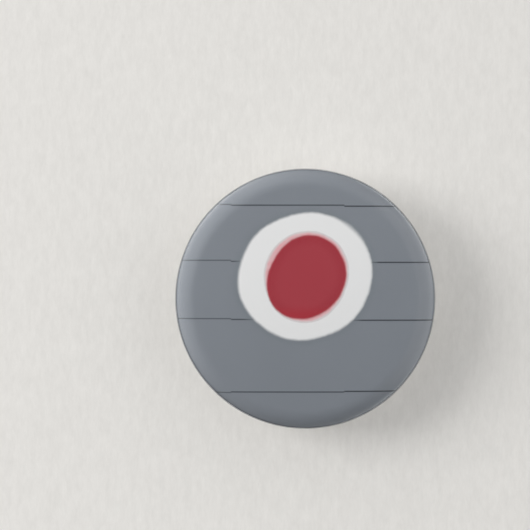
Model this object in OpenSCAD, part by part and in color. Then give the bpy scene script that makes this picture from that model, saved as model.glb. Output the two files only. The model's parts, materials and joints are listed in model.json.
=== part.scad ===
// Button badge: a crimped tinplate pin-back badge, 32 mm across.
// Frame: the badge hangs upright, as worn. Its printed face looks along -Y, +Z is up and +X is to
// the right as the wearer's friends see it. The origin is the centre of the plane on which the
// back plate's rolled rim rests, so a depth in this file is measured from that plane towards the
// face, along -Y.

/* [Badge] */
// Diameter over the finished edge
badge_d = 32; // [31.6:0.1:32.4]
// Depth from the back rim to the top of the crowned face
badge_depth = 5.2; // [5.15:0.05:5.4]
// How far the face falls from its centre to the start of the rounded edge
crown_h = 0.95; // [0.8:0.05:1]
// Radius of the face where the rounded edge starts
face_r = 13.6; // [13.4:0.1:13.8]
// Radius of the curl that turns the edge in behind the badge
curl_r = 1; // [0.95:0.05:1.05]

/* [Sheet layers] */
// Thickness of the clear film
film_t = 0.1; // [0.08:0.01:0.1]
// Thickness of the printed paper
paper_t = 0.1; // [0.08:0.01:0.1]
// Thickness of the front shell
shell_t = 0.25; // [0.2:0.01:0.25]
// Thickness of the back plate
plate_t = 0.25; // [0.2:0.01:0.27]

/* [Back plate] */
// Outer radius of the rolled rim, where the film tucks in behind it
rim_r = 14.92; // [14.9:0.01:14.93]
// Width of the flat land on top of the rolled rim
land_w = 0.4; // [0.3:0.05:0.45]
// Radius of the raised flat centre
plateau_r = 10; // [9.8:0.1:10.2]
// Depth of the raised flat centre
plateau_depth = 2.75; // [2.75:0.01:2.8]
// Depth of the bottom of the dished ring around it
dish_depth = 3.05; // [2.95:0.05:3.05]
// Outer radius of the dished ring
dish_r = 13.4; // [13.3:0.05:13.5]
// Length of each slot
slot_l = 6.4; // [6.2:0.1:6.5]
// Width of each slot
slot_w = 3; // [2.9:0.1:3.1]
// Distance of each slot's middle from the badge's centre
slot_x = 9; // [8.9:0.05:9.1]

/* [Pin wire] */
// Diameter of the spring wire
wire_d = 0.8; // [0.7:0.05:0.8]
// Depth of the needle's axis
needle_depth = 1.75; // [1.7:0.01:1.75]
// Height of the needle's axis, with 0 at the badge's middle
needle_z = -0.55; // [-0.6:0.01:-0.55]
// Distance of the point from the badge's middle
point_x = 10.75; // [10.6:0.05:10.8]
// Length of the long taper behind the point
taper_l = 5.3; // [5:0.1:5.6]
// Height of the catch's legs where they turn down into the slot
leg_z = [0.36, 0.5];
// Distance of the catch's inner and outer legs from the badge's middle
leg_x = [6.8, 10.4];
// Height of the bottom of the catch's bend
bend_z = -3.45; // [-3.5:0.05:-3.4]

/* [Spring coil] */
// Distance of the coil's middle behind the badge's middle
coil_x = 9.83; // [9.8:0.01:9.9]
// Radius of the coil, to the middle of the wire
coil_r = 0.87; // [0.86:0.01:0.88]
// Turns in the coil
coil_turns = 1.5; // [1.5]
// Spacing of the turns
coil_pitch = 0.95; // [0.92:0.01:0.97]

/* [Hidden] */
$fn = 96;

badge_r = badge_d / 2;
layer_gap = 0.01;
paper_in = film_t + layer_gap;
shell_in = paper_in + paper_t + layer_gap;

// Face: a shallow spherical crown that runs tangent into the rounded edge
crown_r = (face_r * face_r + crown_h * crown_h) / (2 * crown_h);
crown_c = [0, badge_depth - crown_r];
crown_a = asin(face_r / crown_r);
edge_r = (badge_r - face_r) / (1 - sin(crown_a));
edge_c = [badge_r - edge_r, crown_c[1] + (crown_r - edge_r) * cos(crown_a)];

// Back of the edge: the curl, then the small turn that tucks the film and paper in
curl_depth = 1.05;
curl_a = 75;
shell_curl_a = 71;
curl_c = [badge_r - curl_r, curl_depth];
tuck_r = 0.253;
tuck_l = 0.85;
tuck_c = curl_c + (curl_r - tuck_r) * [cos(curl_a), -sin(curl_a)];

// Back plate: the sloped step round the flat centre, then the dished ring and the rolled rim
step_w = 0.25;
dish_edge_depth = 1.95;
roll_r = 0.3;
wall_lean = 0.09;
flare_depth = 1.3;
flare = [0.32, 0.3];

// Pin wire
wire_r = wire_d / 2;
arm_depth = needle_depth + 2 * coil_r;
arm_z = needle_z + coil_turns * coil_pitch;
leg_depth = 0.93;
bend_depth = 0.6;
bend_inset = 0.25;
tail_depth = 3.69;
tail_z = -2.3;
arm_bend = [-5, -1.2];
butt_gap = 0.03;
top_bend_r = 0.45;
foot_bend_r = 0.6;
arm_bend_r = 1.1;
u_bend_r = 1.35;
wire_sides = 12;
arc_step = 15;

// Needle: it is a hair thinner over the short neck where the coil grips it
hinge_x = -coil_x + wire_r + butt_gap;
neck_l = 1.35;
neck_r = 0.39;
tip_l = 0.75;
tip_r = 0.02;
taper_r = 0.2;

// Small pressed rib on the dished ring, outside the catch's slot
rib_r = 0.3;
rib_z = -0.65;
rib_x = [12.1, 13.5];
dish_slope = (dish_depth - dish_edge_depth) / (dish_r - plateau_r - step_w);
rib_lift = 0.12;

// --- Profiles, as [radius, depth] points -----------------------------------------------------

// Points on a round stretch from angle a0 to a1, in equal steps
function arc(c, r, a0, a1, steps) =
    [for (i = [0:steps]) let (a = a0 + (a1 - a0) * i / steps) c + r * [cos(a), sin(a)]];

// The formed sheet's outline at a distance d inside the outer surface, from the axis to the curl
function outline(d, end_a = curl_a) = concat(
    arc(crown_c, crown_r - d, 90, 90 - crown_a, 8),
    arc(edge_c, edge_r - d, 90 - crown_a, 0, 12),
    arc(curl_c, curl_r - d, 0, -end_a, 8));

// The tucked end that the film and paper add to it
function tuck(d) = concat(
    arc(tuck_c, tuck_r - d, -curl_a - 15, -180, 6),
    [[tuck_c[0] - tuck_r + d, tuck_c[1] + tuck_l]]);

function reversed(p) = [for (i = [len(p) - 1:-1:0]) p[i]];

// A sheet profile shifted towards the face by t, with mitred corners
function unit(v) = v / norm(v);
function left_of(v) = [-v[1], v[0]];
function miter(n0, n1) = (n0 + n1) / (1 + n0 * n1);
function thickened(p, t) = [for (i = [0:len(p) - 1])
    let (n0 = left_of(unit(p[max(i, 1)] - p[max(i, 1) - 1])),
         last = len(p) - 1,
         n1 = left_of(unit(p[min(i + 1, last)] - p[min(i, last - 1)])))
    p[i] + t * miter(n0, n1)];

// Back surface of the back plate, from the axis to its flared edge
land_r1 = rim_r - roll_r;
land_r0 = land_r1 - land_w;
wall_r = land_r0 - roll_r;
plate_back = concat(
    [[0, plateau_depth], [plateau_r, plateau_depth], [plateau_r + step_w, dish_depth],
     [dish_r, dish_edge_depth], [wall_r - wall_lean, 2 * roll_r]],
    arc([land_r0, roll_r], roll_r, 180, 270, 6),
    arc([land_r1, roll_r], roll_r, 270, 360, 6),
    [[rim_r, flare_depth], [rim_r, flare_depth] + flare]);

// Turns a profile about the badge's axis, with its depth along -Y
module turned(profile) {
    rotate([90, 0, 0])
        rotate_extrude()
            polygon(profile);
}

// --- Wire ------------------------------------------------------------------------------------

function at(x, depth, z) = [x, -depth, z];

// The bend of radius r at corner b of the path a-b-c
function bend(a, b, c, r) =
    let (u = unit(a - b), v = unit(c - b),
         half = acos(u * v) / 2,
         centre = b + unit(u + v) * r / sin(half),
         start = b + u * r / tan(half),
         e = unit(start - centre),
         sweep = 180 - 2 * half,
         steps = ceil(sweep / arc_step))
    [for (i = [0:steps]) let (t = sweep * i / steps) centre + r * (cos(t) * e - sin(t) * u)];

// A path through corner points, with a bend radius for each corner between the ends
function bent_path(corners, radii) = concat(
    [corners[0]],
    [for (i = [1:len(corners) - 2])
        each bend(corners[i - 1], corners[i], corners[i + 1], radii[i - 1])],
    [corners[len(corners) - 1]]);

function heading(p, i) = unit(p[min(i + 1, len(p) - 1)] - p[max(i - 1, 0)]);
function squared(u, t) = unit(u - (u * t) * t);
function side_vectors(p) = [
    for (i = 0, u = squared([0.3, 0.5, 1], heading(p, 0));
         i < len(p);
         i = i + 1, u = squared(u, heading(p, min(i, len(p) - 1))))
        u];

// Round wire swept along a path
module wire(p) {
    u = side_vectors(p);
    n = wire_sides;
    rings = [for (i = [0:len(p) - 1], k = [0:n - 1])
        let (a = 360 * k / n, v = cross(heading(p, i), u[i]))
        p[i] + wire_r * (cos(a) * u[i] + sin(a) * v)];
    skin = [for (i = [0:len(p) - 2], k = [0:n - 1])
        [i * n + k, (i + 1) * n + k, (i + 1) * n + (k + 1) % n, i * n + (k + 1) % n]];
    ends = [[for (k = [0:n - 1]) k], [for (k = [n - 1:-1:0]) (len(p) - 1) * n + k]];
    polyhedron(points = rings, faces = concat(skin, ends));
}

coil_start = at(-coil_x, arm_depth, arm_z);
arm_corner = at(leg_x[0], arm_depth, arm_bend[1]);
arm_knee = at(arm_bend[0], arm_depth, arm_z);
join = arm_corner + (arm_knee - arm_corner) * 0.3;

// --- Pieces ----------------------------------------------------------------------------------

// Clear film over the print, tucked in behind the rim
module clear_film() {
    color("whitesmoke", 0.4)
        turned(concat(outline(0), tuck(0),
                      reversed(concat(outline(film_t), tuck(film_t)))));
}

// Printed paper disc, formed over the shell with the film
module printed_disc() {
    inner = paper_in + paper_t;
    color("slategray")
        turned(concat(outline(paper_in), tuck(paper_in),
                      reversed(concat(outline(inner), tuck(inner)))));
}

// Tinplate front shell, its edge curled in behind the badge
module front_shell() {
    color("silver")
        turned(concat(outline(shell_in, shell_curl_a),
                      reversed(outline(shell_in + shell_t, shell_curl_a))));
}

// Round-ended slot through the plate, with its middle at x
module slot(x) {
    straight = slot_l - slot_w;
    translate([x, 0, 0])
        rotate([90, 0, 0]) {
            for (end = [-1, 1])
                translate([end * straight / 2, 0, 0])
                    cylinder(d = slot_w, h = badge_depth);
            translate([-straight / 2, -slot_w / 2, 0])
                cube([straight, slot_w, badge_depth]);
        }
}

// Rib that stiffens the narrow bridge between the catch's slot and the rim
module rib() {
    rib_depth = dish_depth - (rib_x[0] - plateau_r - step_w) * dish_slope + rib_r - rib_lift;
    slope_a = atan(dish_slope);
    translate(at(rib_x[0], rib_depth, rib_z))
        rotate([0, 90, slope_a])
            cylinder(r = rib_r, h = (rib_x[1] - rib_x[0]) / cos(slope_a));
}

// Dished back plate with a rolled rim, whose flared edge locks under the shell's curl
module back_plate() {
    color("gainsboro")
        difference() {
            union() {
                turned(concat(plate_back, reversed(thickened(plate_back, plate_t))));
                rib();
            }
            for (side = [-1, 1])
                slot(side * slot_x);
        }
}

// Catch: the wire's tail rises through the slot, loops over the needle and goes back down
module catch_hook() {
    x = leg_x;
    corners = [
        at(x[1], tail_depth, tail_z),
        at(x[1], tail_depth, leg_z[1]),
        at(x[1], leg_depth, leg_z[1]),
        at(x[1] - bend_inset, bend_depth, bend_z),
        at(x[0] + bend_inset, bend_depth, bend_z),
        at(x[0], leg_depth, leg_z[0]),
        at(x[0], arm_depth, leg_z[0]),
        arm_corner,
        join];
    radii = [foot_bend_r, top_bend_r, u_bend_r, u_bend_r, top_bend_r, foot_bend_r, arm_bend_r];
    color("silver")
        wire(bent_path(corners, radii));
}

// Straight run of the wire under the plate, from the catch to the coil
module base_arm() {
    start = join + butt_gap * unit(arm_knee - join);
    color("silver")
        wire(bent_path([start, arm_knee, coil_start + [butt_gap, 0, 0]], [2 * arm_bend_r]));
}

// Coil that springs the needle, standing in the other slot
module spring_coil() {
    sweep = 360 * coil_turns;
    path = [for (a = [0:arc_step:sweep])
        at(-coil_x - coil_r * sin(a),
           needle_depth + coil_r * (1 + cos(a)),
           arm_z - coil_pitch * a / 360)];
    color("silver")
        wire(path);
}

// Needle, from the ball end at the coil to the point
module needle() {
    length = point_x - hinge_x;
    taper_at = length - tip_l - taper_l;
    profile = concat(
        arc([0, 0], neck_r, -90, 0, 8),
        [[wire_r, neck_l], [wire_r, taper_at], [taper_r, length - tip_l],
         [tip_r, length], [0, length]]);
    color("silver")
        translate(at(hinge_x, needle_depth, needle_z))
            rotate([0, 90, 0])
                rotate_extrude()
                    polygon(profile);
}

clear_film();
printed_disc();
front_shell();
back_plate();
catch_hook();
base_arm();
spring_coil();
needle();
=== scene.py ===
"""Button badge: the visible pieces, their materials, and the studio around them."""
import json
import math

import bpy
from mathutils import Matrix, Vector, noise
from mathutils.geometry import delaunay_2d_cdt


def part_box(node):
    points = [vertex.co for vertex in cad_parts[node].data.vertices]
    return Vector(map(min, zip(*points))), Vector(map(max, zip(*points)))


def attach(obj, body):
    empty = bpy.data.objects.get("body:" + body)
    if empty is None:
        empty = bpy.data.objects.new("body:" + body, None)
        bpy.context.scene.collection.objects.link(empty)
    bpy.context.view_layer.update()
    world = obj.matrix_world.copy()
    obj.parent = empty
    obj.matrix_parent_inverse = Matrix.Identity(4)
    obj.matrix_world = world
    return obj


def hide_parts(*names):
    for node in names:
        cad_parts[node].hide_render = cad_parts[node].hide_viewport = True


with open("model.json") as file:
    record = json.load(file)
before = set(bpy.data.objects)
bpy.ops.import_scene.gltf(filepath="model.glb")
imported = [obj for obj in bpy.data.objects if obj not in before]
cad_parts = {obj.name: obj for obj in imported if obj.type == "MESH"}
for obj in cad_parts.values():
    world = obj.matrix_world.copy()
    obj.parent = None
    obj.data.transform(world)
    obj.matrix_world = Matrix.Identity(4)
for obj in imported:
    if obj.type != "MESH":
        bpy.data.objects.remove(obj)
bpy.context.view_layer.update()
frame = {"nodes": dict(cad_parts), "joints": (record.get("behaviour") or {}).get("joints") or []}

# Shapes are worked out in millimetres, as (x, depth, z): depth runs from the back rim towards the
# printed face, along -Y. Meshes are stored in metres.
MM = 0.001

film_low, film_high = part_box("clear_film")
needle_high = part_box("needle")[1]
BADGE_R = film_high[0] / MM
BADGE_DEPTH = -film_low[1] / MM
HINGE = Vector(frame["joints"][0]["pos_m"]) / MM
NEEDLE_TIP = needle_high[0] / MM
WIRE_R = needle_high[2] / MM - HINGE.z

# Radii on the back plate that its finish follows as well as its shape
DISH_R = 13.4
RIM_R = 14.92
BEAD_W = 1.0
BEAD_START = RIM_R - BEAD_W

# Points round the badge's axis, points round the wire, and degrees between points along a bend
TURNS = 256
WIRE_SIDES = 24
BEND_STEP = 5
# Smallest radius of a ring on the wire, so that an end never closes to a point
LEAST_R = 0.004
# Direction in which a ring on the wire starts, unless a piece gives its own
RING_START = Vector((0.3, 0.5, 1))


# --- Points ------------------------------------------------------------------------------------

def arc(centre, radius, first, last, steps):
    """Points (r, depth) on a round stretch of a profile, from angle first to last, in degrees."""
    angles = [math.radians(first + (last - first) * i / steps) for i in range(steps + 1)]
    return [(centre[0] + radius * math.cos(a), centre[1] + radius * math.sin(a)) for a in angles]


def bend(before, corner, after, radius):
    """Points on the bend that rounds one corner of a path."""
    u = (before - corner).normalized()
    v = (after - corner).normalized()
    half = u.angle(v) / 2
    centre = corner + (u + v).normalized() * radius / math.sin(half)
    start = corner + u * radius / math.tan(half)
    out = (start - centre).normalized()
    sweep = math.pi - 2 * half
    steps = max(1, math.ceil(math.degrees(sweep) / BEND_STEP))
    turns = [sweep * i / steps for i in range(steps + 1)]
    return [centre + radius * (math.cos(t) * out - math.sin(t) * u) for t in turns]


def bent_path(corners, radii):
    """A path through the corners, with a bend radius for each corner between its ends."""
    path = [corners[0]]
    for before, corner, after, radius in zip(corners, corners[1:], corners[2:], radii):
        path += bend(before, corner, after, radius)
    return path + [corners[-1]]


def circle(radius, count=TURNS):
    """Points round a circle, as (x, z)."""
    angles = [2 * math.pi * i / count for i in range(count)]
    return [(radius * math.cos(a), radius * math.sin(a)) for a in angles]


def place(x, depth, z):
    return Vector((x, -depth, z))


def smooth_step(value, low, high):
    """0 up to low, 1 from high, with a smooth way between. low may be the greater."""
    t = min(max((value - low) / (high - low), 0), 1)
    return t * t * (3 - 2 * t)


# --- Meshes ------------------------------------------------------------------------------------

def make_piece(name, points, faces, material, sharp=50):
    """A smooth-shaded object from points in millimetres. Edges above the sharp angle stay crisp."""
    mesh = bpy.data.meshes.new(name)
    mesh.from_pydata([Vector(p) * MM for p in points], [], faces)
    mesh.materials.append(material)
    mesh.shade_smooth()
    mesh.set_sharp_from_angle(angle=math.radians(sharp))
    piece = bpy.data.objects.new(name, mesh)
    bpy.context.scene.collection.objects.link(piece)
    return piece


def stand_in(piece, node, body):
    """The piece moves with a body and takes the place of a CAD node."""
    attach(piece, body)
    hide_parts(node)


def turned(profile, shift):
    """Turns a closed profile of (r, depth) points about the badge's axis.

    shift says how far a point moves outward, from its angle, radius and depth."""
    points, rings = [], []
    for r, depth in profile:
        if r < 1e-6:
            rings.append([len(points)] * TURNS)
            points.append(place(0, depth, 0))
            continue
        rings.append(range(len(points), len(points) + TURNS))
        for i in range(TURNS):
            a = 2 * math.pi * i / TURNS
            out = r + shift(a, r, depth)
            points.append(place(out * math.cos(a), depth, out * math.sin(a)))
    faces = []
    for ring, following in zip(rings, rings[1:] + rings[:1]):
        for i in range(TURNS):
            k = (i + 1) % TURNS
            corners = [ring[i], following[i], following[k], ring[k]]
            face = [c for n, c in enumerate(corners) if c not in corners[:n]]
            if len(face) > 2:
                faces.append(face)
    return points, faces


def swept(path, radii, side=RING_START):
    """Round wire along a path, with rings carried along it so that it never twists."""
    points, faces = [], []
    for i, p in enumerate(path):
        along = (path[min(i + 1, len(path) - 1)] - path[max(i - 1, 0)]).normalized()
        side = (side - along * side.dot(along)).normalized()
        other = along.cross(side)
        radius = max(radii[i], LEAST_R)
        for k in range(WIRE_SIDES):
            a = 2 * math.pi * k / WIRE_SIDES
            points.append(p + radius * (math.cos(a) * side + math.sin(a) * other))
    last = len(points) - WIRE_SIDES
    for first in range(0, last, WIRE_SIDES):
        following = first + WIRE_SIDES
        for k in range(WIRE_SIDES):
            m = (k + 1) % WIRE_SIDES
            faces.append([first + k, first + m, following + m, following + k])
    faces.append(list(reversed(range(WIRE_SIDES))))
    faces.append(list(range(last, len(points))))
    return points, faces


# --- Shader graphs -----------------------------------------------------------------------------

class Graph:
    """Short names for the shader nodes that the materials and the world share."""

    def __init__(self, owner, output="ShaderNodeOutputMaterial"):
        owner.use_nodes = True
        self.tree = owner.node_tree
        self.tree.nodes.clear()
        self.output = self.node(output)

    def node(self, kind, **settings):
        made = self.tree.nodes.new(kind)
        for name, value in settings.items():
            setattr(made, name, value)
        return made

    def put(self, value, socket):
        if isinstance(value, bpy.types.NodeSocket):
            self.tree.links.new(value, socket)
        else:
            socket.default_value = value

    def math(self, operation, *values, clamp=False):
        made = self.node("ShaderNodeMath", operation=operation, use_clamp=clamp)
        for value, socket in zip(values, made.inputs):
            self.put(value, socket)
        return made.outputs[0]

    def add(self, *values):
        total = values[0]
        for value in values[1:]:
            total = self.math("ADD", total, value)
        return total

    def multiply(self, *values):
        total = values[0]
        for value in values[1:]:
            total = self.math("MULTIPLY", total, value)
        return total

    def fade(self, value, low, high):
        """0 below low, 1 above high, with a smooth way between. Falls instead if low > high."""
        made = self.node("ShaderNodeMapRange", interpolation_type="SMOOTHSTEP")
        self.put(value, made.inputs["Value"])
        self.put(min(low, high), made.inputs["From Min"])
        self.put(max(low, high), made.inputs["From Max"])
        self.put(0.0 if low < high else 1.0, made.inputs["To Min"])
        self.put(1.0 if low < high else 0.0, made.inputs["To Max"])
        return made.outputs["Result"]

    def place_mm(self):
        """The point's place on the object, in millimetres."""
        where = self.node("ShaderNodeTexCoord").outputs["Object"]
        made = self.node("ShaderNodeVectorMath", operation="SCALE")
        self.put(where, made.inputs[0])
        self.put(1 / MM, made.inputs["Scale"])
        return made.outputs[0]

    def split(self, vector):
        made = self.node("ShaderNodeSeparateXYZ")
        self.put(vector, made.inputs[0])
        return made.outputs

    def length(self, vector):
        made = self.node("ShaderNodeVectorMath", operation="LENGTH")
        self.put(vector, made.inputs[0])
        return made.outputs["Value"]

    def stretched(self, vector, x, y, z):
        made = self.node("ShaderNodeVectorMath", operation="MULTIPLY")
        self.put(vector, made.inputs[0])
        self.put((x, y, z), made.inputs[1])
        return made.outputs[0]

    def noise(self, vector, scale, detail=2.0, roughness=0.5):
        """Noise from about 0.2 to 0.8 round 0.5, with scale features in a millimetre."""
        made = self.node("ShaderNodeTexNoise")
        self.put(vector, made.inputs["Vector"])
        self.put(scale, made.inputs["Scale"])
        self.put(detail, made.inputs["Detail"])
        self.put(roughness, made.inputs["Roughness"])
        return made.outputs[0]

    def swing(self, value, amount):
        """A noise value turned into a change of plus or minus about amount."""
        return self.multiply(self.math("SUBTRACT", value, 0.5), amount * 2.5)

    def blend(self, factor, first, second):
        made = self.node("ShaderNodeMix", data_type="RGBA")
        self.put(factor, made.inputs["Factor"])
        self.put(first, made.inputs[6])
        self.put(second, made.inputs[7])
        return made.outputs[2]

    def bump(self, height, distance_mm, strength=1.0, normal=None):
        made = self.node("ShaderNodeBump")
        self.put(height, made.inputs["Height"])
        self.put(distance_mm * MM, made.inputs["Distance"])
        self.put(strength, made.inputs["Strength"])
        if normal is not None:
            self.put(normal, made.inputs["Normal"])
        return made.outputs[0]

    def show(self, shader):
        self.put(shader, self.output.inputs["Surface"])

    def show_mix(self, factor, first, second):
        """Shows the first shader where the factor is 0, and the second where it is 1."""
        made = self.node("ShaderNodeMixShader")
        for value, socket in zip((factor, first, second), made.inputs):
            self.put(value, socket)
        self.show(made.outputs[0])

    def surface(self, **values):
        """Shows a principled surface. An underscore in a name stands for a space."""
        made = self.node("ShaderNodeBsdfPrincipled")
        for name, value in values.items():
            self.put(value, made.inputs[name.replace("_", " ")])
        self.show(made.outputs[0])


def tone(red, green, blue):
    """A colour given as it looks on screen, from 0 to 255."""
    levels = [c / 255 for c in (red, green, blue)]
    linear = [c / 12.92 if c <= 0.04045 else ((c + 0.055) / 1.055) ** 2.4 for c in levels]
    return (*linear, 1)


# --- Materials ---------------------------------------------------------------------------------

# Where the print fades out on the side wall, as places on Y
PRINT_ENDS = (-1.75, -1.45)
# Painted shade: the colour that the film turns what shows through it along the outline
OUTLINE_SHADE_TINT = (0.42, 0.44, 0.47, 1)
FILM_IOR = 1.45
MOST_SHINE = 0.08


def film_material():
    """Clear gloss film: what is behind it shows, and light glints off the faces that look outward.

    It is painted darker along the badge's outline, where it is seen at a slant, as painted shade
    standing in for the dark reflection there, and has no glint there."""
    material = bpy.data.materials.new("clear_film")
    g = Graph(material)
    where = g.place_mm()
    ripple = g.bump(g.noise(where, 0.35, 2.0), 0.02)
    ripple = g.bump(g.noise(where, 6.0, 2.0), 0.0006, normal=ripple)
    glint = g.node("ShaderNodeBsdfAnisotropic")
    g.put((1, 1, 1, 1), glint.inputs["Color"])
    g.put(0.16, glint.inputs["Roughness"])
    g.put(ripple, glint.inputs["Normal"])
    slant = g.node("ShaderNodeLayerWeight").outputs["Facing"]
    clear = g.node("ShaderNodeBsdfTransparent")
    wall = g.fade(g.split(where)["Y"], PRINT_ENDS[1], PRINT_ENDS[0])
    # Painted shade: the film's clear colour darkens along the outline, in place of the dark reflection
    # there
    outline = g.multiply(g.fade(slant, 0.62, 0.88), wall)
    g.put(g.blend(outline, (1, 1, 1, 1), OUTLINE_SHADE_TINT), clear.inputs["Color"])
    bounce = g.node("ShaderNodeFresnel")
    g.put(FILM_IOR, bounce.inputs["IOR"])
    g.put(ripple, bounce.inputs["Normal"])
    inner = g.node("ShaderNodeNewGeometry").outputs["Backfacing"]
    outer = g.math("SUBTRACT", 1.0, inner)
    shine = g.math("MINIMUM", bounce.outputs[0], MOST_SHINE)
    shine = g.multiply(shine, outer, g.fade(slant, 0.72, 0.5))
    g.show_mix(shine, clear.outputs[0], glint.outputs[0])
    return material


# Artwork: a ruled grey ground with a brushed white disc and a red spot on it
GROUND = tone(127, 133, 141)
GROUND_CLOUD = tone(126, 132, 140)
GROUND_HALO = tone(120, 127, 134)
WHITE_INK = tone(232, 233, 234)
RULE_INK = tone(52, 58, 66)
RED_INK = tone(164, 52, 64)
RED_DEEP = tone(170, 36, 50)
RED_BAND = tone(158, 40, 54)
RED_THIN = tone(226, 160, 166)
FRINGE_GREY = tone(196, 186, 188)
BARE_PAPER = tone(224, 223, 221)
# Each rule is three strokes: its middle one's height, and the rise from one stroke to the next
RULES = ((11.45, -0.12), (4.59, -0.13), (-2.51, -0.1), (-11.39, 0.08))
RULE_WIDTH = 0.15
RULE_BREAKS = (-9.1, 4.75)
BREAK_BLUR = 0.02
# How dark the left, middle and right strokes are
STROKE_WEIGHTS = (0.63, 0.85, 1.0)
# Ovals that the inks fill: middle, radii, and the waves (count, height, angle) on each edge
WHITE_DISC = ((-0.06, 2.75), (8.05, 7.77), ((2, 0.2, 34), (6, 0.06, 198)))
WHITE_SMEAR = ((0.04, 2.68), (8.05, 7.75),
               ((1, 0.2, 46), (2, 0.17, 40), (3, 0.1, 46), (4, 0.06, 46)))
RED_COAT = ((0.08, 2.74), (5.34, 5.34), ((2, 0.27, 72), (3, 0.07, 150)))
RED_SPOT = ((0.1, 2.6), (4.94, 4.94), ((2, 0.35, 58), (3, 0.08, 340)))


def brushed_oval(g, x, z, centre, radii, waves):
    """Distance in millimetres outside an oval. Each wave (count, height, angle) swells its edge."""
    dx = g.math("SUBTRACT", x, centre[0])
    dz = g.math("SUBTRACT", z, centre[1])
    wide = g.multiply(dx, 1 / radii[0])
    tall = g.multiply(dz, 1 / radii[1])
    reach = g.math("SQRT", g.add(g.multiply(wide, wide), g.multiply(tall, tall)))
    outside = g.multiply(g.math("SUBTRACT", reach, 1.0), sum(radii) / 2)
    angle = g.math("ARCTAN2", dz, dx)
    for count, height, peak in waves:
        turn = g.multiply(g.math("SUBTRACT", angle, math.radians(peak)), float(count))
        outside = g.add(outside, g.multiply(g.math("COSINE", turn), -height))
    return outside


def ruled_lines(g, colour, x, z):
    """Thin dark rules over a colour."""
    left = g.fade(x, RULE_BREAKS[0] + BREAK_BLUR, RULE_BREAKS[0] - BREAK_BLUR)
    right = g.fade(x, RULE_BREAKS[1] - BREAK_BLUR, RULE_BREAKS[1] + BREAK_BLUR)
    stroke = g.math("SUBTRACT", right, left)
    left_weight, weight, right_weight = STROKE_WEIGHTS
    weight = g.add(g.multiply(left, left_weight - weight), g.multiply(right, right_weight - weight),
                   weight)
    for height, rise in RULES:
        line = g.math("SUBTRACT", z, g.add(g.multiply(stroke, rise), height))
        strength = g.fade(g.math("ABSOLUTE", line), RULE_WIDTH * 0.8, RULE_WIDTH * 0.3)
        colour = g.blend(g.multiply(strength, weight), colour, RULE_INK)
    return colour


def white_disc(g, colour, x, z, bristle):
    """A brushed white disc over a colour, with a half-strength smear and a faint darker halo."""
    disc = g.add(brushed_oval(g, x, z, *WHITE_DISC), bristle)
    smear = g.add(brushed_oval(g, x, z, *WHITE_SMEAR), bristle)
    colour = g.blend(g.multiply(g.fade(disc, 1.2, 0.1), 0.7), colour, GROUND_HALO)
    colour = g.blend(g.multiply(g.fade(smear, 0.15, -0.35), 0.5), colour, WHITE_INK)
    return g.blend(g.fade(disc, 0.27, -0.23), colour, WHITE_INK)


def red_spot(g, colour, x, z, bristle, thin):
    """A red spot over a colour. Its thin first coat shows beyond it as a pink and grey fringe."""
    coat = g.add(brushed_oval(g, x, z, *RED_COAT), bristle)
    spot = g.add(brushed_oval(g, x, z, *RED_SPOT), g.multiply(bristle, 0.7))
    colour = g.blend(g.multiply(g.fade(coat, 0.14, 0.0), 0.5), colour, FRINGE_GREY)
    colour = g.blend(g.multiply(g.fade(coat, 0.02, -0.35), thin), colour, RED_THIN)
    colour = g.blend(g.fade(spot, 0.2, -0.16), colour, RED_INK)
    band = g.multiply(g.fade(spot, -1.5, -0.5), g.fade(spot, 0.0, -0.2), 0.6)
    colour = g.blend(band, colour, RED_BAND)
    low = g.multiply(g.fade(z, -0.6, -2.2), g.fade(spot, -0.05, -0.3), 0.7)
    return g.blend(low, colour, RED_DEEP)


def print_material():
    """Printed paper: the artwork on the face, fading to bare white paper on the wrapped edge."""
    material = bpy.data.materials.new("printed_paper")
    g = Graph(material)
    where = g.place_mm()
    x, y, z = g.split(where)
    flat = g.stretched(where, 1, 0, 1)
    cloud = g.noise(flat, 0.16, 3.0)
    coarse = g.swing(g.noise(flat, 0.5, 1.0), 0.08)
    bristle = g.add(g.swing(g.noise(flat, 1.6, 3.0, 0.6), 0.06), coarse)
    thin = g.add(g.swing(g.noise(flat, 1.1, 3.0), 0.3), 0.75)

    colour = g.blend(g.fade(cloud, 0.35, 0.65), GROUND, GROUND_CLOUD)
    colour = ruled_lines(g, colour, x, z)
    colour = white_disc(g, colour, x, z, bristle)
    colour = red_spot(g, colour, x, z, bristle, thin)

    # The print ends a little way down the side, and the paper beyond it is bare
    edge = g.add(y, g.swing(g.noise(where, 0.5, 2.0), 0.06))
    colour = g.blend(g.fade(edge, *PRINT_ENDS), colour, BARE_PAPER)

    # Painted light: the print is brightened a little towards the right, standing in for fill light on
    # that side
    fibre = g.noise(where, 9.0, 4.0, 0.7)
    painted_fill_light = g.multiply(g.fade(x, -8.0, 14.0), 0.08)
    shade = g.node("ShaderNodeHueSaturation")
    g.put(g.add(g.swing(fibre, 0.03), painted_fill_light, 1.0), shade.inputs["Value"])
    g.put(colour, shade.inputs["Color"])
    g.surface(Base_Color=shade.outputs[0], Roughness=0.55, Normal=g.bump(fibre, 0.004),
              Specular_IOR_Level=0.3)
    return material


# Pale colour painted on the bead and its wall: a painted highlight
BEAD_SHEEN_TINT = (0.8, 0.79, 0.77, 1)


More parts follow.
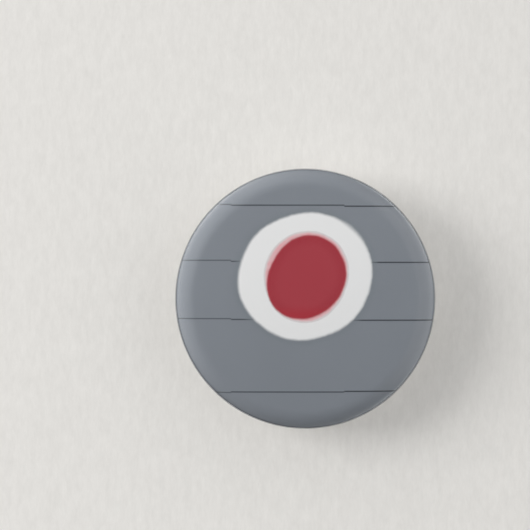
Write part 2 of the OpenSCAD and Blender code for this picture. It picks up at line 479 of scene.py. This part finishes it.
def tinplate_material(name, light, dark, streak_depth, roughness):
    """Rolled tinplate: fine grain up the sheet, cloudy bloom, deeper scores, and a bead painted white
    as a painted highlight.
    """
    material = bpy.data.materials.new(name)
    g = Graph(material)
    where = g.place_mm()
    grain = g.noise(g.stretched(where, 1, 0.5, 0.055), 6.5, 3.0, 0.65)
    fine = g.noise(g.stretched(where, 1, 0.5, 0.03), 17.0, 2.0)
    score = g.noise(g.stretched(where, 1, 0.5, 0.02), 3.2, 2.0)
    bloom = g.noise(where, 0.32, 3.0)
    streak = g.add(g.multiply(grain, 0.6), g.multiply(fine, 0.4))
    glint = g.fade(g.noise(g.stretched(where, 1, 0.5, 0.09), 9.0, 1.0), 0.66, 0.76)
    tint = g.add(g.swing(streak, 0.8), g.swing(bloom, 0.12), g.multiply(glint, 0.35), 0.45)
    colour = g.blend(g.math("ADD", tint, 0.0, clamp=True), dark, light)
    scored = g.fade(score, 0.68, 0.74)
    rough = g.add(g.swing(streak, 0.1), g.swing(bloom, 0.06), g.multiply(scored, 0.06), roughness)
    height = g.add(g.multiply(grain, 0.6), g.multiply(fine, 0.25), g.multiply(scored, -0.3))

    # Painted highlight: the bead, and the wall that leads up to it, are painted paler in place of their
    # bright reflections; they are also duller and with less grain
    r = g.length(g.stretched(where, 1, 0, 1))
    bead = g.fade(r, BEAD_START - 0.02, BEAD_START + 0.1)
    wall = g.multiply(g.fade(r, DISH_R - 0.5, DISH_R - 0.1), g.fade(r, BEAD_START, BEAD_START - 0.1))
    sheen_band = g.add(bead, g.multiply(wall, 0.8))
    colour = g.blend(g.multiply(sheen_band, 0.8), colour, BEAD_SHEEN_TINT)
    depth = g.multiply(g.math("SUBTRACT", 1.0, g.multiply(sheen_band, 0.8)), streak_depth)
    bump = g.bump(height, 1.0, normal=g.bump(bloom, 0.02))
    g.put(g.multiply(depth, MM), bump.node.inputs["Distance"])
    g.surface(Base_Color=colour, Metallic=g.math("SUBTRACT", 1.0, g.multiply(sheen_band, 0.6)),
              Roughness=g.add(rough, g.multiply(sheen_band, 0.1)), Normal=bump)
    return material


def wire_material():
    """Bright drawn wire: nickel over steel, with fine scuffs and a few dull worn patches."""
    material = bpy.data.materials.new("pin_wire")
    g = Graph(material)
    where = g.place_mm()
    scuff = g.noise(where, 9.0, 4.0, 0.7)
    drawn = g.noise(g.stretched(where, 0.12, 1, 1), 14.0, 2.0)
    wear = g.fade(g.noise(where, 1.1, 3.0), 0.52, 0.68)
    tint = g.math("ADD", g.add(g.swing(scuff, 0.25), g.multiply(wear, -0.3)), 0.75, clamp=True)
    colour = g.blend(tint, (0.42, 0.405, 0.385, 1), (0.80, 0.79, 0.77, 1))
    rough = g.add(g.swing(scuff, 0.05), g.multiply(wear, 0.14), 0.17)
    height = g.add(g.multiply(scuff, 0.5), g.multiply(drawn, 0.5))
    g.surface(Base_Color=colour, Metallic=1.0, Roughness=rough, Normal=g.bump(height, 0.004))
    return material


FILM = film_material()
PRINT = print_material()
PLATE = tinplate_material("back_tinplate", light=(0.61, 0.604, 0.595, 1), dark=(0.238, 0.231, 0.218, 1),
                          streak_depth=0.009, roughness=0.27)
SHELL = tinplate_material("shell_tinplate", light=(0.3, 0.275, 0.25, 1), dark=(0.15, 0.138, 0.125, 1),
                          streak_depth=0.01, roughness=0.45)
WIRE = wire_material()


# --- Film, paper and shell -----------------------------------------------------------------------

# The formed outline: crowned face, rounded edge, and the curl that tucks in behind
FILM_T = 0.1
PAPER_T = 0.1
LAYER_GAP = 0.01
PAPER_IN = FILM_T + LAYER_GAP
CROWN_H = 0.95
FACE_R = 13.6
CURL_R = 1.0
CURL_DEPTH = 1.05
CURL_A = 75
TUCK_R = 0.253
TUCK_L = 0.85

crown_r = (FACE_R ** 2 + CROWN_H ** 2) / (2 * CROWN_H)
crown_a = math.asin(FACE_R / crown_r)
crown_c = (0, BADGE_DEPTH - crown_r)
edge_r = (BADGE_R - FACE_R) / (1 - math.sin(crown_a))
edge_c = (BADGE_R - edge_r, crown_c[1] + (crown_r - edge_r) * math.cos(crown_a))
curl_c = (BADGE_R - CURL_R, CURL_DEPTH)
tuck_c = (curl_c[0] + (CURL_R - TUCK_R) * math.cos(math.radians(CURL_A)),
          curl_c[1] - (CURL_R - TUCK_R) * math.sin(math.radians(CURL_A)))


def formed_outline(inset):
    """The sheet's outline at an inset inside the outer surface, from the axis to the tucked end."""
    rise = 90 - math.degrees(crown_a)
    face = arc(crown_c, crown_r - inset, 90, rise, 30)
    edge = arc(edge_c, edge_r - inset, rise, 0, 24)
    curl = arc(curl_c, CURL_R - inset, 0, -CURL_A, 14)
    turn = arc(tuck_c, TUCK_R - inset, -CURL_A - 15, -180, 8)
    tail_r = tuck_c[0] - TUCK_R + inset
    tail = [(tail_r, tuck_c[1] + TUCK_L * i / 4) for i in range(1, 5)]
    return face + edge[1:] + curl[1:] + turn + tail


# The press gathers the sheets where it turns them in: the radii between which the gathers grow,
# the height and closeness of their long waves and sharp folds, and how far both are sunk
GATHER_R = (BADGE_R - 0.25, BADGE_R - 0.8)
WAVE_H = 0.02
WAVES = 9.5
FOLD_H = 0.13
FOLDS = 21
GATHER_SINK = 0.035


def noise_round(angle, closeness, seed):
    """Noise from -1 to 1 that meets itself after a full turn."""
    return noise.noise(Vector((math.cos(angle) * closeness, math.sin(angle) * closeness, seed)))


def gather(angle, r, depth):
    """How far the gathers move a point of a sheet outward. They lie only behind the edge."""
    near = smooth_step(r, *GATHER_R) if depth < CURL_DEPTH else 0
    wave = 0.5 + 0.5 * noise_round(angle, WAVES, 0.7)
    fold = max(0, noise_round(angle, FOLDS, 3.1))
    return near * (WAVE_H * wave + FOLD_H * fold - GATHER_SINK)


def sheet_piece(name, inset, thickness, material, node):
    profile = formed_outline(inset) + formed_outline(inset + thickness)[::-1]
    stand_in(make_piece(name, *turned(profile, gather), material), node, "badge")


sheet_piece("formed_film", 0, FILM_T, FILM, "clear_film")
sheet_piece("printed_paper", PAPER_IN, PAPER_T, PRINT, "printed_disc")

shell = frame["nodes"]["front_shell"]
shell.data.materials.clear()
shell.data.materials.append(SHELL)

# --- Back plate ----------------------------------------------------------------------------------

PLATE_T = 0.25
# The raised flat centre, the radii of the step round it, and the dish, which steepens outwards
PLATEAU_DEPTH = 2.75
STEP = (9.85, 10.3)
DISH_DEPTH = 3.05
DISH_EDGE_DEPTH = 1.95
DISH_CURVE = 1.5
# Inside the seam the plate is a cut sheet with faint ripples, and outside it the rim is turned
SEAM_R = 12.9
RIPPLE_H = 0.02
RIPPLES = 0.22
RIPPLE_FADE = 1.5

SLOT_X = 9.0
SLOT_L = 6.4
SLOT_W = 3.0
SLOT_STRAIGHT = (SLOT_L - SLOT_W) / 2
# The sheet dips towards the face at a slot's edge: width, depth and roundness of that lip
LIP_W = 0.3
LIP_DROP = 0.19
LIP_ROUND = 0.8

# The wall from the dish to the bead, the bead's two rounded sides, and the flare past the rim
WALL_BEND_R = 0.9
WALL_FOOT = (BEAD_START - 0.06, 0.75)
BEAD_IN_R = 0.4
BEAD_OUT_R = 0.24
FLARE = ((RIM_R, 0.8), (RIM_R, 1.3), (RIM_R + 0.32, 1.6))

# The pressed rib: its ends, height and radius, and how far its axis lies inside the plate
RIB_X = (12.25, 13.6)
RIB_Z = -0.62
RIB_R = 0.36
RIB_SINK = 0.14
RIB_STEPS = 24

# Points round a slot: steps on each round end and each side, and distances outside its edge.
# The rings round the axis keep a little further off
SLOT_END_STEPS = 48
SLOT_SIDE_STEPS = 34
SLOT_GAPS = (0, 0.04, 0.09, 0.15, 0.22, 0.3, 0.42, 0.56)
SLOT_CLEAR = 0.66


def slot_distance(x, z):
    """Distance from the edge of the nearer slot, negative inside it."""
    along = max(abs(abs(x) - SLOT_X) - SLOT_STRAIGHT, 0)
    return math.hypot(along, z) - SLOT_W / 2


def dish_profile(r):
    """Depth of the plate's back surface at a radius: flat centre, step, then a dish that steepens."""
    down = min(max((r - STEP[0]) / (STEP[1] - STEP[0]), 0), 1)
    step = down ** 3 * (4 - 3 * down) * (DISH_DEPTH - PLATEAU_DEPTH)
    across = max(r - STEP[1], 0) / (DISH_R - STEP[1])
    return PLATEAU_DEPTH + step - (DISH_DEPTH - DISH_EDGE_DEPTH) * across ** DISH_CURVE


def lip_round(share):
    """Drop of the lip's round section at a share of its width from the flat."""
    return 1 - math.sqrt(1 - share ** 2 * LIP_ROUND)


def plate_depth(x, z):
    """Depth of the plate's back surface, inside the rim."""
    r = math.hypot(x, z)
    depth = dish_profile(r)
    gap = max(slot_distance(x, z), 0)
    if gap < LIP_W:
        depth += LIP_DROP * lip_round(1 - gap / LIP_W) / lip_round(1)
    ripple = noise.noise(Vector((x * RIPPLES, z * RIPPLES, 5.0)))
    return depth + RIPPLE_H * ripple * smooth_step(r, SEAM_R, SEAM_R - RIPPLE_FADE)


def slot_loop(side, gap):
    """Points round a slot at a gap outside its edge."""
    radius = SLOT_W / 2 + gap
    loop = []
    for end in (1, -1):
        centre = side * SLOT_X + end * SLOT_STRAIGHT
        for i in range(SLOT_END_STEPS + 1):
            a = math.radians(-90 * end + 180 * i / SLOT_END_STEPS)
            loop.append((centre + radius * math.cos(a), radius * math.sin(a)))
        for i in range(1, SLOT_SIDE_STEPS):
            loop.append((centre - end * 2 * SLOT_STRAIGHT * i / SLOT_SIDE_STEPS, end * radius))
    return loop


def plate_rings():
    """Radii of the rings of points on the plate, closest together over the step."""
    flat = [0.4 * i for i in range(1, 25)] + [9.8]
    step = [STEP[0] + 0.04 * i for i in range(10)] + [10.26, STEP[1]]
    dish = [10.36, 10.45] + [10.6 + 0.3 * i for i in range(7)] + [12.65]
    return flat + step + dish


def ring_count(r):
    """Number of points on a ring: fewer near the axis."""
    if r > 5:
        return TURNS
    return TURNS // 2 if r > 2 else TURNS // 8


def loop_edges(first, count):
    return [(first + i, first + (i + 1) % count) for i in range(count)]


def plate_centre():
    """The dished centre with its two slots, from the axis to the seam with the rim."""
    flat, edges = [], []
    for side in (-1, 1):
        for gap in SLOT_GAPS:
            loop = slot_loop(side, gap)
            if gap == 0:
                edges += loop_edges(len(flat), len(loop))
            flat += [p for p in loop if gap == 0 or math.hypot(*p) < SEAM_R - 0.05]
    flat.append((0, 0))
    for r in plate_rings():
        flat += [p for p in circle(r, ring_count(r)) if slot_distance(*p) > SLOT_CLEAR]
    edges += loop_edges(len(flat), TURNS)
    flat += circle(SEAM_R)
    made = delaunay_2d_cdt([Vector(p) for p in flat], edges, [], 0, 1e-5)
    spots, faces = made[0], made[2]
    keep = []
    for face in faces:
        middle = sum((spots[i] for i in face), Vector((0, 0))) / len(face)
        if slot_distance(*middle) > 0 and middle.length < SEAM_R:
            keep.append(list(face))
    used = sorted({i for face in keep for i in face})
    index = {old: new for new, old in enumerate(used)}
    spots = [spots[i] for i in used]
    keep = [[index[i] for i in face] for face in keep]
    return spots, keep


def boundary_edges(faces):
    """The directed edges that only one face has."""
    directed = {(a, b) for face in faces for a, b in zip(face, face[1:] + face[:1])}
    return [(a, b) for a, b in directed if (b, a) not in directed]


def rim_profile():
    """Back surface of the rolled rim, from the seam out to the flared edge."""
    corners = [(SEAM_R, dish_profile(SEAM_R)), (DISH_R, dish_profile(DISH_R)), WALL_FOOT]
    wall = bent_path([Vector((r, depth, 0)) for r, depth in corners], [WALL_BEND_R])
    bead = arc((BEAD_START + BEAD_IN_R, BEAD_IN_R), BEAD_IN_R, 184, 262, 10)
    bead += arc((RIM_R - BEAD_OUT_R, BEAD_OUT_R), BEAD_OUT_R, 278, 360, 10)
    return [(p.x, p.y) for p in wall] + bead + list(FLARE)


def offset_profile(profile, thickness):
    """The profile moved towards the face by the sheet's thickness."""
    moved = []
    last = len(profile) - 1
    for i, (r, depth) in enumerate(profile):
        before = Vector(profile[max(i, 1)]) - Vector(profile[max(i, 1) - 1])
        after = Vector(profile[min(i + 1, last)]) - Vector(profile[min(i, last - 1)])
        n0 = Vector((-before.y, before.x)).normalized()
        n1 = Vector((-after.y, after.x)).normalized()
        moved.append(Vector((r, depth)) + (n0 + n1) * thickness / (1 + n0.dot(n1)))
    moved[0] = Vector((profile[0][0], profile[0][1] + thickness))
    return [(p.x, p.y) for p in moved]


def rib_bar():
    """The short rib on the bridge beyond the catch's slot, rising out of the plate."""
    path, radii = [], []
    for i in range(RIB_STEPS + 1):
        t = (1 - math.cos(math.pi * i / RIB_STEPS)) / 2
        x = RIB_X[0] + (RIB_X[1] - RIB_X[0]) * t
        path.append(place(x, dish_profile(math.hypot(x, RIB_Z)) + RIB_SINK, RIB_Z))
        end = min(x - RIB_X[0], RIB_X[1] - x, RIB_R)
        radii.append(math.sqrt(RIB_R ** 2 - (RIB_R - end) ** 2))
    return swept(path, radii)


def on_seam(spot):
    return spot.length > SEAM_R - 1e-3


def rim_faces(points, seam, count):
    """Adds the rim's rings to the points, and returns its faces from the seam round to its underside.

    seam has the points on the seam in turn, and the same points underneath are count further on."""
    rings = [seam]
    rim = rim_profile()
    for r, depth in rim[1:] + offset_profile(rim, PLATE_T)[:0:-1]:
        rings.append(range(len(points), len(points) + TURNS))
        points += [place(x, depth, z) for x, z in circle(r)]
    rings.append([i + count for i in seam])
    faces = []
    for ring, following in zip(rings, rings[1:]):
        for i in range(TURNS):
            k = (i + 1) % TURNS
            faces.append([ring[i], ring[k], following[k], following[i]])
    return faces


def back_plate_piece():
    spots, tris = plate_centre()
    count = len(spots)
    points = [place(p.x, plate_depth(p.x, p.y), p.y) for p in spots]
    points += [place(p.x, dish_profile(p.length) + PLATE_T, p.y) for p in spots]
    # Seen from behind, x runs to the left, so a face that turns anticlockwise in (x, z) faces -Y
    faces = [face[::-1] for face in tris] + [[i + count for i in face] for face in tris]
    seam = [None] * TURNS
    for a, b in boundary_edges(tris):
        if on_seam(spots[a]) and on_seam(spots[b]):
            turn = round(math.atan2(spots[a].y, spots[a].x) / (2 * math.pi) * TURNS) % TURNS
            seam[turn] = a
        else:
            faces.append([a, b, b + count, a + count])
    faces += rim_faces(points, seam, count)
    rib_points, rib_faces = rib_bar()
    faces += [[len(points) + i for i in face] for face in rib_faces]
    points += rib_points
    piece = make_piece("pressed_back_plate", points, faces, PLATE, 60)
    stand_in(piece, "back_plate", "badge")


back_plate_piece()

# --- Spring wire: catch, arm and coil are one length, and the needle is its free end ---------------

COIL_X = 9.83
COIL_R = 0.87
COIL_TURNS = 1.5
COIL_PITCH = 0.95
ARM_DEPTH = -HINGE.y + 2 * COIL_R
ARM_Z = HINGE.z + COIL_TURNS * COIL_PITCH
# Catch: its tail, its two legs and the loop that joins them, and the way on to the arm
TAIL_DEPTH = 3.69
TAIL_Z = -2.3
LEG_X = (6.8, 10.4)
LEG_Z = (0.36, 0.5)
LEG_DEPTH = 0.93
LOOP_DEPTH = 0.6
LOOP_Z = -3.45
LOOP_INSET = 0.25
ARM_TURN_Z = -1.2
# The arm runs under the plate, and the catch's piece ends a share of the way along it
KNEE_X = -5.0
JOIN_SHARE = 0.3
# Bends of the catch's piece, from its tail on, and of the arm at its knee
BEND_RADII = [0.6, 0.45, 1.35, 1.35, 0.45, 0.6, 1.1]
KNEE_R = 2.2
# Needle: its long taper, its tip, and the thinner neck that the coil grips
TAPER_L = 5.3
TAPER_R = 0.2
TIP_L = 0.75
TIP_R = 0.02
NECK_L = 1.35
NECK_R = 0.39


def wire_piece(name, path, node, body, radii=None, side=RING_START):
    rings = swept(path, radii or [WIRE_R] * len(path), side)
    stand_in(make_piece(name, *rings, WIRE, 60), node, body)


arm_turn = place(LEG_X[0], ARM_DEPTH, ARM_TURN_Z)
knee = place(KNEE_X, ARM_DEPTH, ARM_Z)
join = arm_turn.lerp(knee, JOIN_SHARE)
coil_start = place(-COIL_X, ARM_DEPTH, ARM_Z)

hook_corners = [
    place(LEG_X[1], TAIL_DEPTH, TAIL_Z),
    place(LEG_X[1], TAIL_DEPTH, LEG_Z[1]),
    place(LEG_X[1], LEG_DEPTH, LEG_Z[1]),
    place(LEG_X[1] - LOOP_INSET, LOOP_DEPTH, LOOP_Z),
    place(LEG_X[0] + LOOP_INSET, LOOP_DEPTH, LOOP_Z),
    place(LEG_X[0], LEG_DEPTH, LEG_Z[0]),
    place(LEG_X[0], ARM_DEPTH, LEG_Z[0]),
    arm_turn,
    join,
]
wire_piece("catch_wire", bent_path(hook_corners, BEND_RADII), "catch_hook", "badge")
wire_piece("arm_wire", bent_path([join, knee, coil_start], [KNEE_R]), "base_arm", "badge")

coil = []
for turn in range(0, int(360 * COIL_TURNS) + 1, BEND_STEP):
    a = math.radians(turn)
    coil.append(place(-COIL_X - COIL_R * math.sin(a),
                      -HINGE.y + COIL_R * (1 + math.cos(a)),
                      ARM_Z - COIL_PITCH * turn / 360))
coil.append(Vector(HINGE))
wire_piece("coil_wire", coil, "spring_coil", "badge")

# The needle has a round root at the hinge, so that it never parts from the coil
needle_l = NEEDLE_TIP - HINGE.x
needle_profile = arc((0, 0), NECK_R, -90, 0, 10) + [
    (WIRE_R, NECK_L),
    (WIRE_R, needle_l - TIP_L - TAPER_L),
    (TAPER_R, needle_l - TIP_L),
    (TIP_R, needle_l),
]
needle_path = [HINGE + Vector((along, 0, 0)) for r, along in needle_profile]
needle_radii = [r for r, along in needle_profile]
wire_piece("pin_needle", needle_path, "needle", "needle", needle_radii, Vector((0, 1, 0)))

# --- Studio --------------------------------------------------------------------------------------

scene = bpy.context.scene
scene.view_settings.view_transform = "Standard"

# The badge stands low and to the right of the picture's middle
VIEW_W = 65.2
VIEW_X = -4.95
VIEW_Z = 4.14
CAMERA_DISTANCE = 450
SENSOR_W = 36

camera_data = bpy.data.cameras.new("camera")
camera_data.sensor_width = SENSOR_W
camera_data.lens = SENSOR_W * (CAMERA_DISTANCE - edge_c[1]) / VIEW_W
camera = bpy.data.objects.new("camera", camera_data)
camera.location = Vector((VIEW_X, -CAMERA_DISTANCE, VIEW_Z)) * MM
camera.rotation_euler = (math.radians(90), 0, 0)
scene.collection.objects.link(camera)
scene.camera = camera


def card_material():
    """Pale studio paper. It shows only from the front, so the back of the badge can be seen past it."""
    material = bpy.data.materials.new("studio_card")
    g = Graph(material)
    fibre = g.noise(g.stretched(g.place_mm(), 1, 1, 0.35), 1.6, 5.0, 0.7)
    paper = g.node("ShaderNodeBsdfDiffuse")
    g.put(g.blend(fibre, (0.70, 0.69, 0.67, 1), (0.86, 0.85, 0.83, 1)), paper.inputs["Color"])
    clear = g.node("ShaderNodeBsdfTransparent")
    behind = g.node("ShaderNodeNewGeometry").outputs["Backfacing"]
    g.show_mix(behind, paper.outputs[0], clear.outputs[0])
    return material


CARD_HALF = 130
CARD_BEHIND = 3.5
card_corners = [(x * CARD_HALF, CARD_BEHIND, z * CARD_HALF)
                for x, z in ((-1, -1), (1, -1), (1, 1), (-1, 1))]
card = make_piece("studio_card", card_corners, [[0, 1, 2, 3]], card_material())
# Only the camera sees this card, so that it doesn't darken the badge's back
card.visible_glossy = False
card.visible_diffuse = False
card.visible_shadow = False

WINDOW_TINT = (1, 0.985, 0.965)


def softbox(name, spot, size, power):
    """A square soft light at a spot in millimetres, turned to the badge and not mirrored in it."""
    data = bpy.data.lights.new(name, "AREA")
    data.size = size * MM
    data.energy = power
    data.color = WINDOW_TINT
    light = bpy.data.objects.new(name, data)
    light.location = Vector(spot) * MM
    light.rotation_euler = (-light.location).to_track_quat("-Z", "Y").to_euler()
    light.visible_glossy = False
    scene.collection.objects.link(light)


softbox("window_key", (-630, -400, 165), 380, 3.02)
softbox("back_key", (110, 710, 90), 400, 2.2)

SURROUND_TINT = (1, 0.995, 0.985, 1)
# What the badge is lit by, and what the camera sees past it
SURROUND_LEVEL = 0.315
SEEN_LEVEL = 0.72
# Soft bright or dark lobes in the surround: direction, inner and outer angle, and change
LOBES = (
    # In front: the window on the left, the ceiling, and a pale wall on the right
    ((-1, -0.1, 0.45), 18, 76, 1.0),
    ((0.2, -0.2, 1), 15, 50, 0.45),
    ((1, -0.3, 0.05), 30, 60, 0.8),
    # Behind: three bright patches and a darker one, which the dish and the step mirror
    ((-0.44, 0.8, 0.44), 8, 28, 1.7),
    ((0.42, 0.8, -0.42), 8, 29, 1.1),
    ((0.52, 0.85, 0.38), 8, 28, 2.2),
    ((-0.4, 0.82, -0.4), 8, 34, -0.2),
)


def studio_world():
    """An even surround with the lobes in it. The camera sees a plain level instead."""
    world = bpy.data.worlds.new("studio")
    g = Graph(world, "ShaderNodeOutputWorld")
    toward = g.node("ShaderNodeTexCoord").outputs["Generated"]
    total = SURROUND_LEVEL
    for direction, inner, outer, change in LOBES:
        facing = g.node("ShaderNodeVectorMath", operation="DOT_PRODUCT")
        g.put(toward, facing.inputs[0])
        g.put(tuple(Vector(direction).normalized()), facing.inputs[1])
        nearest = math.cos(math.radians(inner))
        furthest = math.cos(math.radians(outer))
        lit = g.fade(facing.outputs["Value"], furthest, nearest)
        total = g.add(g.multiply(lit, change), total)
    seen = g.node("ShaderNodeLightPath").outputs["Is Camera Ray"]
    total = g.multiply(total, g.math("SUBTRACT", 1.0, seen))
    total = g.add(total, g.multiply(seen, SEEN_LEVEL))
    light = g.node("ShaderNodeBackground")
    g.put(SURROUND_TINT, light.inputs["Color"])
    g.put(total, light.inputs["Strength"])
    g.show(light.outputs[0])
    scene.world = world


studio_world()
